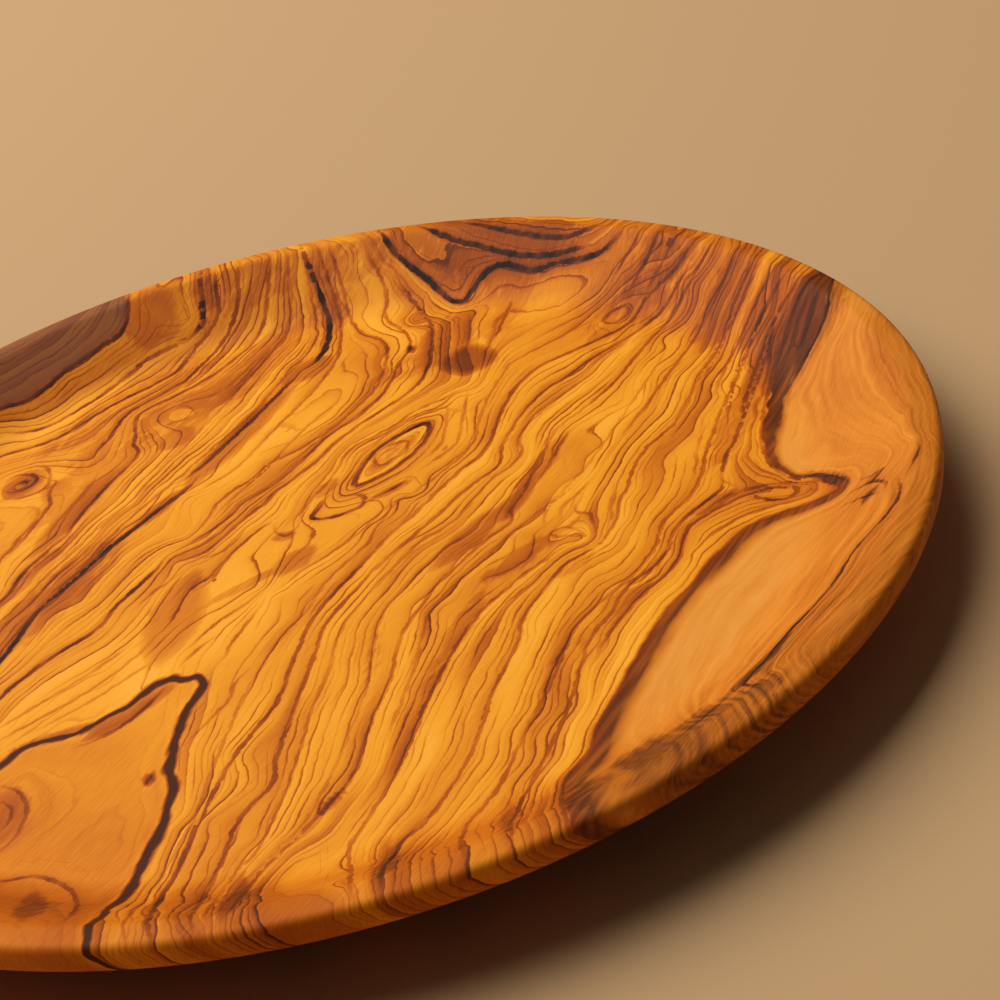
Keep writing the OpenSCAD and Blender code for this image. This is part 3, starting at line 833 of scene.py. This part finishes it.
def olive_wood():
    """Olive wood turned, sanded fine and rubbed with oil. Its face is satin: the figure shows deep and
    clear, light spreads softly over it, and the open pores stay a little rougher than the wood."""
    material = bpy.data.materials.new("olive_wood_turned_and_oiled")
    material.use_nodes = True
    tree = material.node_tree
    surface = tree.nodes["Principled BSDF"]

    ring = add(tree, "Attribute", {}, out=2, attribute_name="ring")
    pitch = add(tree, "Attribute", {}, out=2, attribute_name="pitch")
    line_side = add(tree, "Attribute", {}, out=2, attribute_name="line_side")
    line_shade = add(tree, "Attribute", {}, out=2, attribute_name="line_shade")
    line_dark = add(tree, "Attribute", {}, out=2, attribute_name="line_dark")
    stain_and_shade = add(tree, "Attribute", {}, out=2, attribute_name="stain_and_shade")
    wall = add(tree, "Attribute", {}, out=2, attribute_name="wall")
    # Painted shade of the walls, deepest on the near side
    cut = add(tree, "Attribute", {}, out=2, attribute_name="cut")

    # Places in millimetres, turned so that x runs along the grain
    place = add(tree, "TexCoord", {}, out=3)
    turned = (0, 0, -math.radians(GRAIN_ANGLE))
    grain = add(tree, "Mapping", {"Vector": place, "Rotation": turned, "Scale": [1 / MM] * 3})

    # The rings waver by part of a millimetre as they run along the grain.
    waver_at = add(tree, "Mapping", {"Vector": grain, "Scale": per_mm(WAVER_SIZE)})
    waver = add(tree, "TexNoise", {"Vector": waver_at, "Scale": 1, "Detail": 4, "Roughness": 0.5})
    waver_mm = add(tree, "MapRange", {0: waver, 1: 0, 2: 1, 3: -WAVER_MOST, 4: WAVER_MOST})
    waver_rings = add(tree, "Math", {0: waver_mm, 1: pitch}, operation="DIVIDE")
    count = add(tree, "Math", {0: ring, 1: waver_rings}, operation="ADD")
    grain_x = add(tree, "SeparateXYZ", {0: grain}, out=0)

    # Faint lines grow darker from the far left and end with a sharp edge on the near right. Each comes
    # and goes along the grain.
    line_tones = []
    for per_ring, run_mm, thin, thick, fade_mm, rare, most in LINE_SETS:
        counted = add(tree, "Math", {0: count, 1: per_ring}, operation="MULTIPLY")
        number = add(tree, "Math", {0: counted}, operation="CEIL")
        aside = add(tree, "Math", {0: number, 1: counted}, operation="SUBTRACT")
        aside_wide = add(tree, "Math", {0: aside, 1: pitch}, operation="MULTIPLY")
        aside_mm = add(tree, "Math", {0: aside_wide, 1: per_ring}, operation="DIVIDE")
        run_at = add(tree, "Math", {0: grain_x, 1: run_mm}, operation="DIVIDE")
        number_far = add(tree, "Math", {0: number, 1: LINE_APART}, operation="MULTIPLY")
        fade_at = add(tree, "CombineXYZ", {0: run_at, 1: number_far})
        fade = add(tree, "TexNoise", {"Vector": fade_at, "Scale": 1, "Detail": 1})
        chance = add(tree, "MapRange", {0: fade, 1: rare, 2: rare + 0.25, 3: 0, 4: most})
        room = add(tree, "MapRange", {0: pitch, 1: 0.8 * per_ring, 2: 1.4 * per_ring, 3: 0.15, 4: 1})
        strength = add(tree, "Math", {0: chance, 1: room}, operation="MULTIPLY")
        core_w = add(tree, "MapRange", {0: strength, 1: 0, 2: 1, 3: thin, 4: thick})
        core_off = add(tree, "Math", {0: aside_mm, 1: core_w}, operation="DIVIDE")
        core = add(tree, "MapRange", {0: core_off, 1: 1, 2: 0.4, 3: 0, 4: 1})
        shade = add(tree, "MapRange", {0: aside_mm, 1: fade_mm, 2: 0, 3: 0, 4: 0.4})
        body = add(tree, "Math", {0: core, 1: shade}, operation="MAXIMUM")
        line_tones.append(add(tree, "Math", {0: body, 1: strength}, operation="MULTIPLY"))
    found_tone = add(tree, "Math", {0: line_tones[0], 1: line_tones[1]}, operation="MAXIMUM")

    # The drawn lines: a dark core, sharp on the near right and soft on the far left, and their shade
    jog_at = add(tree, "Mapping", {"Vector": grain, "Scale": per_mm(JOG_SIZE)})
    jog = add(tree, "TexNoise", {"Vector": jog_at, "Scale": 1, "Detail": 3, "Roughness": 0.6})
    jog_mm = add(tree, "MapRange", {0: jog, 1: 0, 2: 1, 3: -JOG_MOST, 4: JOG_MOST})
    side = add(tree, "Math", {0: line_side, 1: jog_mm}, operation="ADD")
    soft_w = add(tree, "MapRange", {0: line_dark, 1: 0.3, 2: 1, 3: -LINE_LEFT_FAINT, 4: -LINE_LEFT_DARK})
    off_left = add(tree, "Math", {0: side, 1: soft_w}, operation="DIVIDE")
    off_right = add(tree, "Math", {0: side, 1: LINE_RIGHT}, operation="DIVIDE")
    off_line = add(tree, "Math", {0: off_left, 1: off_right}, operation="MAXIMUM")
    on_line = add(tree, "MapRange", {0: off_line, 1: 1, 2: 0.5, 3: 0, 4: 1})
    core_line = add(tree, "Math", {0: on_line, 1: line_dark}, operation="MULTIPLY")
    shade_soft = add(tree, "Math", {0: line_shade, 1: SHADE_POWER}, operation="POWER")
    shade_line = add(tree, "Math", {0: shade_soft, 1: SHADE_TONE}, operation="MULTIPLY")
    drawn_full = add(tree, "Math", {0: core_line, 1: shade_line}, operation="MAXIMUM")
    vary_at = add(tree, "Mapping", {"Vector": grain, "Scale": per_mm(VARY_SIZE)})
    vary = add(tree, "TexNoise", {"Vector": vary_at, "Scale": 1, "Detail": 2})
    vary_by = add(tree, "MapRange", {0: vary, 1: NOISE_LOW, 2: NOISE_HIGH, 3: 0.65, 4: 1.2})
    drawn_tone = add(tree, "Math", {0: drawn_full, 1: vary_by}, operation="MULTIPLY")

    # Between the lines each ring darkens from its far left edge to its near right one, some more.
    band_number = add(tree, "Math", {0: count}, operation="FLOOR")
    band_part = add(tree, "Math", {0: count, 1: band_number}, operation="SUBTRACT")
    band_rise = add(tree, "Math", {0: band_part, 1: BAND_POWER}, operation="POWER")
    band_far = add(tree, "Math", {0: band_number, 1: BAND_APART}, operation="MULTIPLY")
    band_run = add(tree, "Math", {0: grain_x, 1: BAND_RUN}, operation="DIVIDE")
    band_at = add(tree, "CombineXYZ", {0: band_run, 1: band_far})
    band = add(tree, "TexNoise", {"Vector": band_at, "Scale": 1, "Detail": 1})
    band_most = add(tree, "MapRange", {0: band, 1: 0.4, 2: NOISE_HIGH, 3: 0, 4: BAND_TONE})
    band_tone = add(tree, "Math", {0: band_most, 1: band_rise}, operation="MULTIPLY")
    broad_count = add(tree, "Math", {0: count, 1: BROADS_PER_RING}, operation="MULTIPLY")
    broad_run = add(tree, "Math", {0: grain_x, 1: BROAD_RUN}, operation="DIVIDE")
    broad_at = add(tree, "CombineXYZ", {0: broad_run, 1: broad_count})
    broad = add(tree, "TexNoise", {"Vector": broad_at, "Scale": 1, "Detail": 2})
    broad_tone = add(tree, "MapRange", {0: broad, 1: NOISE_LOW, 2: NOISE_HIGH, 3: 0, 4: BROAD_TONE})

    # Fibres and pores, drawn out along the grain, and coarser than the real ones so that they show
    fibre_at = add(tree, "Mapping", {"Vector": grain, "Scale": per_mm(FIBRE_SIZE)})
    fibre = add(tree, "TexNoise", {"Vector": fibre_at, "Scale": 1, "Detail": 2})
    fibre_span = {0: fibre, 1: NOISE_LOW, 2: NOISE_HIGH, 3: -FIBRE_TONE, 4: FIBRE_TONE}
    fibre_tone = add(tree, "MapRange", fibre_span)

    # Stained patches, and patches of painted shade, with ragged edges
    rag_at = add(tree, "Mapping", {"Vector": grain, "Scale": per_mm(RAG_SIZE)})
    rag = add(tree, "TexNoise", {"Vector": rag_at, "Scale": 1, "Detail": 3})
    rag_off = add(tree, "MapRange", {0: rag, 1: NOISE_LOW, 2: NOISE_HIGH, 3: -0.2, 4: 0.2})
    ragged = add(tree, "Math", {0: stain_and_shade, 1: rag_off}, operation="ADD")
    stain_and_shade_mask = add(tree, "MapRange", {0: ragged, 1: 0.2, 2: 0.42, 3: 0, 4: 1})
    stain_and_shade_most = add(tree, "MapRange", {0: stain_and_shade, 1: 0.2, 2: 2, 3: 0.1, 4: 0.8})
    stain_and_shade_tone = add(tree, "Math", {0: stain_and_shade_mask, 1: stain_and_shade_most}, operation="MULTIPLY")

    # The plain patch behind the black line keeps little of the figure.
    wall_off = add(tree, "Math", {0: wall, 1: waver_mm}, operation="ADD")
    plain = add(tree, "MapRange", {0: wall_off, 1: -0.3, 2: 0.3, 3: 1, 4: PATCH_FIGURE})
    patch_tone = add(tree, "MapRange", {0: wall_off, 1: 0, 2: 3, 3: 0, 4: PATCH_TONE})
    wall_near = add(tree, "Math", {0: wall_off}, operation="ABSOLUTE")
    wall_w = add(tree, "MapRange", {0: vary, 1: NOISE_LOW, 2: NOISE_HIGH, 3: WALL_THIN, 4: WALL_THICK})
    wall_share = add(tree, "Math", {0: wall_near, 1: wall_w}, operation="DIVIDE")
    wall_tone = add(tree, "MapRange", {0: wall_share, 1: 1.5, 2: 0.5, 3: 0, 4: WALL_TONE})

    # Sapwood lies past the dark edge of the heart, and shows the bands only faintly.
    past_edge = add(tree, "Math", {0: count, 1: HEART_EDGE}, operation="SUBTRACT")
    is_sap = add(tree, "MapRange", {0: past_edge, 1: 0, 2: 0.8}, interpolation_type="SMOOTHSTEP")
    edge_in = add(tree, "MapRange", {0: past_edge, 1: -0.4, 2: 0}, interpolation_type="SMOOTHSTEP")
    edge_out = add(tree, "MapRange", {0: past_edge, 1: 1.5, 2: 0.6})
    edge_band = add(tree, "Math", {0: edge_in, 1: edge_out}, operation="MULTIPLY")
    edge_sum = add(tree, "Math", {0: stain_and_shade_tone, 1: EDGE_TONE}, operation="ADD")
    edge_cap = add(tree, "Math", {0: edge_sum, 1: EDGE_MOST}, operation="MINIMUM")
    streak_at = add(tree, "Mapping", {"Vector": grain, "Scale": per_mm(STREAK_SIZE)})
    streak = add(tree, "TexNoise", {"Vector": streak_at, "Scale": 1, "Detail": 2})
    edge_streak = add(tree, "MapRange", {0: streak, 1: NOISE_LOW, 2: NOISE_HIGH, 3: -0.1, 4: 0.08})
    edge_most = add(tree, "Math", {0: edge_cap, 1: edge_streak}, operation="ADD")
    edge_tone = add(tree, "Math", {0: edge_band, 1: edge_most}, operation="MULTIPLY")

    # The ground tones add up under a soft ceiling, and the lines darken what is still pale.
    bands_kept = add(tree, "Math", {0: band_tone, 1: plain}, operation="MULTIPLY")
    # The walls darken by their painted shade.
    cut_tone = add(tree, "Math", {0: cut, 1: WALL_SHADE_TONE}, operation="MULTIPLY")
    patch_cut = add(tree, "Math", {0: patch_tone, 1: cut_tone}, operation="ADD")
    ground = add(tree, "Math", {0: broad_tone, 1: patch_cut}, operation="ADD")
    tone_a = add(tree, "Math", {0: bands_kept, 1: ground}, operation="ADD")
    tone_b = add(tree, "Math", {0: tone_a, 1: fibre_tone}, operation="ADD")
    found_kept = add(tree, "Math", {0: found_tone, 1: plain}, operation="MULTIPLY")
    line_tone = add(tree, "Math", {0: found_kept, 1: drawn_tone}, operation="MAXIMUM")
    line_deep = add(tree, "Math", {0: line_tone, 1: LINE_POWER}, operation="POWER")
    lines_kept = add(tree, "Math", {0: line_deep, 1: LINE_TONE}, operation="MULTIPLY")
    ground_sum = add(tree, "Math", {0: tone_b, 1: stain_and_shade_tone}, operation="ADD")
    ground_over = add(tree, "MapRange", {0: ground_sum, 1: 0.5, 2: 1.2, 3: 0, 4: 0.25})
    tone_c = add(tree, "Math", {0: ground_sum, 1: ground_over}, operation="SUBTRACT")
    still_pale = add(tree, "Math", {0: 1.0, 1: tone_c}, operation="SUBTRACT")
    line_over = add(tree, "Math", {0: lines_kept, 1: still_pale}, operation="MULTIPLY")
    tone_d = add(tree, "Math", {0: tone_c, 1: line_over}, operation="ADD")
    tone_e = add(tree, "Math", {0: tone_d, 1: wall_tone}, operation="MAXIMUM")
    tone = add(tree, "Math", {0: tone_e, 1: edge_tone}, operation="MAXIMUM")
    heartwood = add(tree, "ValToRGB", {0: tone}, stops=HEARTWOOD_TONES)

    # The sapwood has faint ripples in place of the bands, and past its own line it carries painted shade.
    ripple_count = add(tree, "Math", {0: count, 1: RIPPLES_PER_RING}, operation="MULTIPLY")
    ripple_run = add(tree, "Math", {0: grain_x, 1: RIPPLE_RUN}, operation="DIVIDE")
    ripple_at = add(tree, "CombineXYZ", {0: ripple_run, 1: ripple_count})
    ripple = add(tree, "TexNoise", {"Vector": ripple_at, "Scale": 1, "Detail": 3})
    ripple_tone = add(tree, "MapRange", {0: ripple, 1: NOISE_LOW, 2: NOISE_HIGH, 3: 0.03, 4: 0.27})
    # Painted shade past the sapwood line
    sap_outer_shade = add(tree, "MapRange", {0: count, 1: SAP_LINE - 0.4, 2: SAP_LINE + 0.4, 3: 0, 4: SAP_OUTER_SHADE})
    sap_cut = add(tree, "Math", {0: sap_outer_shade, 1: cut_tone}, operation="ADD")
    sap_even = add(tree, "Math", {0: ripple_tone, 1: sap_cut}, operation="ADD")
    sap_fibre = add(tree, "Math", {0: sap_even, 1: fibre_tone}, operation="ADD")
    sap_lines = add(tree, "Math", {0: sap_fibre, 1: drawn_tone}, operation="ADD")
    sap_stain_and_shade = add(tree, "Math", {0: sap_lines, 1: stain_and_shade_tone}, operation="ADD")
    sap_tone = add(tree, "Math", {0: sap_stain_and_shade, 1: edge_tone}, operation="MAXIMUM")
    sapwood = add(tree, "ValToRGB", {0: sap_tone}, stops=SAPWOOD_TONES)
    wood = add(tree, "Mix", {0: is_sap, 6: heartwood, 7: sapwood}, out=2, data_type="RGBA")

    # The darkest heart at the far left is a dull chocolate.
    into_dark = add(tree, "Math", {0: DARK_HEART, 1: count}, operation="SUBTRACT")
    is_dark = add(tree, "MapRange", {0: into_dark, 1: 0, 2: 0.4}, interpolation_type="SMOOTHSTEP")
    dark_share = add(tree, "Math", {0: is_dark, 1: DARK_HEART_SHARE}, operation="MULTIPLY")
    darkened = {0: dark_share, 6: wood, 7: linear(DARK_HEART_COLOUR)}
    colour = add(tree, "Mix", darkened, out=2, data_type="RGBA")
    tree.links.new(colour, surface.inputs["Base Color"])

    rough = add(tree, "MapRange", {0: fibre, 1: NOISE_LOW, 2: NOISE_HIGH, 3: WOOD_ROUGH, 4: PORE_ROUGH})
    tree.links.new(rough, surface.inputs["Roughness"])
    surface.inputs["Specular IOR Level"].default_value = OILED_GLOSS
    bump = add(tree, "Bump", {"Strength": 0.25, "Distance": FIBRE_RELIEF * MM, "Height": fibre})
    tree.links.new(bump, surface.inputs["Normal"])
    return material


def plain_floor():
    """A plain matt paper floor under the dish."""
    material = bpy.data.materials.new("matt_paper_floor")
    material.use_nodes = True
    surface = material.node_tree.nodes["Principled BSDF"]
    surface.inputs["Base Color"].default_value = linear(FLOOR_COLOUR)
    surface.inputs["Roughness"].default_value = 0.9
    surface.inputs["Specular IOR Level"].default_value = 0.1
    bpy.ops.object.select_all(action="DESELECT")
    bpy.ops.mesh.primitive_plane_add(size=FLOOR_W * MM, location=(0, 0, -FLOOR_GAP * MM))
    floor = bpy.context.object
    floor.name = "paper_floor"
    floor.data.materials.append(material)


FLOOR_COLOUR = "#c09a6e"
FLOOR_W = 8000
# The floor lies this far under the foot, so that the two faces do not fight.
FLOOR_GAP = 0.05

# The camera looks at this point from this far, at the photo's viewing angle, turned about its own
# axis as the dish was tipped sideways to the photo's camera.
CAMERA_TARGET = (44.47, -20.32, 22)
CAMERA_DISTANCE = 493
CAMERA_ELEVATION = 29.95
CAMERA_ROLL = -13.66
CAMERA_FIELD = 24

# Softboxes: name, place, width and power in watts. Each faces the middle of the dish.
SOFTBOXES = (
    ("window_softbox", (-900, 700, 1700), 2000, 62),
)
ROOM_LIGHT = 0.08
ROOM_COLOUR = "#fff6ea"


def light_and_camera():
    """Sets the camera, the softboxes and the light of the room."""
    target = np.array(CAMERA_TARGET) * MM
    rise = math.radians(CAMERA_ELEVATION)
    back = np.array((0, -math.cos(rise), math.sin(rise)))
    across = np.array((1, 0, 0))
    upward = np.cross(back, across)
    roll = math.radians(CAMERA_ROLL)
    right = math.cos(roll) * across + math.sin(roll) * upward
    up = -math.sin(roll) * across + math.cos(roll) * upward
    bpy.ops.object.camera_add()
    camera = bpy.context.object
    camera.data.sensor_width = 36
    camera.data.angle = math.radians(CAMERA_FIELD)
    pose = np.eye(4)
    pose[:3] = np.column_stack([right, up, back, target + CAMERA_DISTANCE * MM * back])
    camera.matrix_world = pose.T.tolist()
    bpy.context.scene.camera = camera

    for name, place, width, power in SOFTBOXES:
        bpy.ops.object.light_add(type="AREA")
        lamp = bpy.context.object
        lamp.name = name
        lamp.data.size = width * MM
        lamp.data.energy = power
        away = np.array(place) * MM
        back = away / np.linalg.norm(away)
        side = np.cross((0, 0, 1), back)
        side /= np.linalg.norm(side)
        pose = np.eye(4)
        pose[:3] = np.column_stack([side, np.cross(back, side), back, away])
        lamp.matrix_world = pose.T.tolist()

    world = bpy.data.worlds.new("room")
    bpy.context.scene.world = world
    world.use_nodes = True
    sky = world.node_tree.nodes["Background"]
    sky.inputs["Color"].default_value = linear(ROOM_COLOUR)
    sky.inputs["Strength"].default_value = ROOM_LIGHT
    bpy.context.scene.view_settings.view_transform = "Standard"


under_side, top_side = dish_profile()
dish = turn_dish(under_side, top_side)
draw_figure(dish, top_side)
dish.data.materials.append(olive_wood())
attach(dish, "root")
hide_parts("dish")
plain_floor()
light_and_camera()
